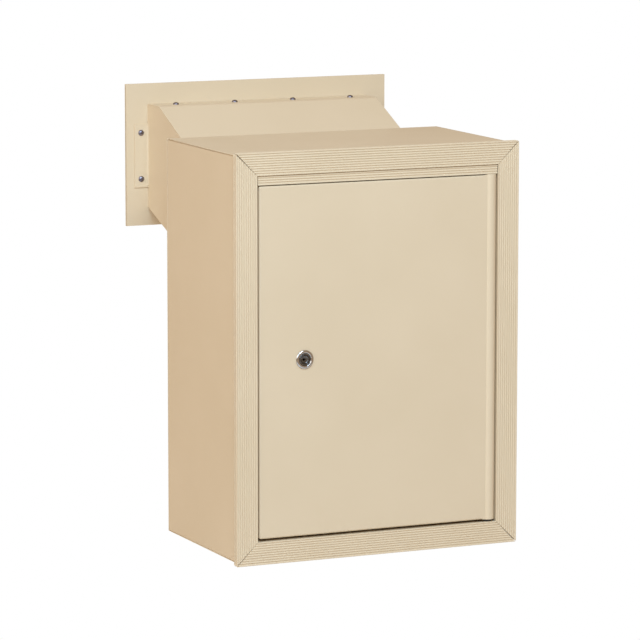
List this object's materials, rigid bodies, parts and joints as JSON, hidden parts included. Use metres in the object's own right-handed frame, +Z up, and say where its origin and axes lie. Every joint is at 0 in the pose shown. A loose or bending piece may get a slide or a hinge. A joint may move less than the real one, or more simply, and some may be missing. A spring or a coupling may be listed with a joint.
{
  "type": "parcel drop box",
  "caption": "Through-wall parcel drop: a wall-hung locker with a hinged, cam-locked door, fed by a sloping sheet-metal chute from an outdoor plate with a lifting flap.",
  "frame": {"origin": "centre of the locker's back, on the indoor wall's surface, midway between its four wall screws", "axes": "+X to the right as one faces the door, +Y into the wall, +Z up"},
  "size_m": [0.364, 0.384, 0.533],
  "materials": {
    "powder_coat": "satin sandstone powder coat with a fine orange-peel texture",
    "zinc_steel": "zinc-plated steel",
    "bright_plate": "bright nickel-chrome plate",
    "nylon": "black nylon",
    "seal_rubber": "black closed-cell rubber"
  },
  "bodies": {
    "locker": {"frame_top": "powder_coat", "frame_bottom": "powder_coat", "frame_left": "powder_coat", "frame_right": "powder_coat", "corner_keys": "zinc_steel", "frame_screws": "zinc_steel", "header_strip": "powder_coat", "header_rivets": "zinc_steel", "left_side_panel": "powder_coat", "right_side_panel": "powder_coat", "top_panel": "powder_coat", "bottom_panel": "powder_coat", "back_panel": "powder_coat", "hinge_rod": "zinc_steel", "hinge_bushings": "nylon", "rod_retainer": "zinc_steel", "top_hinge_bracket": "zinc_steel", "bracket_screws": "zinc_steel", "chute_roof": "powder_coat", "chute_left_side": "powder_coat", "chute_right_side": "powder_coat", "chute_floor": "powder_coat", "mounting_angle": "zinc_steel", "ledge_screws": "zinc_steel", "tab_screws": "zinc_steel", "angle_screws": "zinc_steel", "wall_plate": "powder_coat", "slot_seal": "seal_rubber", "flap_hinge_rod": "zinc_steel", "flap_brackets": "powder_coat", "flap_bracket_screws": "zinc_steel"},
    "door": {"door_panel": "powder_coat", "lock_housing": "bright_plate", "lock_nut": "zinc_steel"},
    "lock_barrel": {"lock_plug": "bright_plate", "lock_cam": "zinc_steel", "cam_washer": "zinc_steel", "cam_screw": "zinc_steel"},
    "flap": {"intake_flap": "powder_coat"}
  },
  "joints": [
    {"name": "door_hinge", "type": "hinge", "parent": "locker", "child": "door", "pos_m": [0.1465, -0.2105, 0], "axis": [0, 0, 1], "range_deg": [0, 105]},
    {"name": "lock_turn", "type": "hinge", "parent": "door", "child": "lock_barrel", "pos_m": [-0.0952, -0.2, -0.0025], "axis": [0, 1, 0], "range_deg": [0, 90]},
    {"name": "flap_hinge", "type": "hinge", "parent": "locker", "child": "flap", "pos_m": [0, 0.151, 0.2715], "axis": [1, 0, 0], "range_deg": [0, 80]}
  ]
}
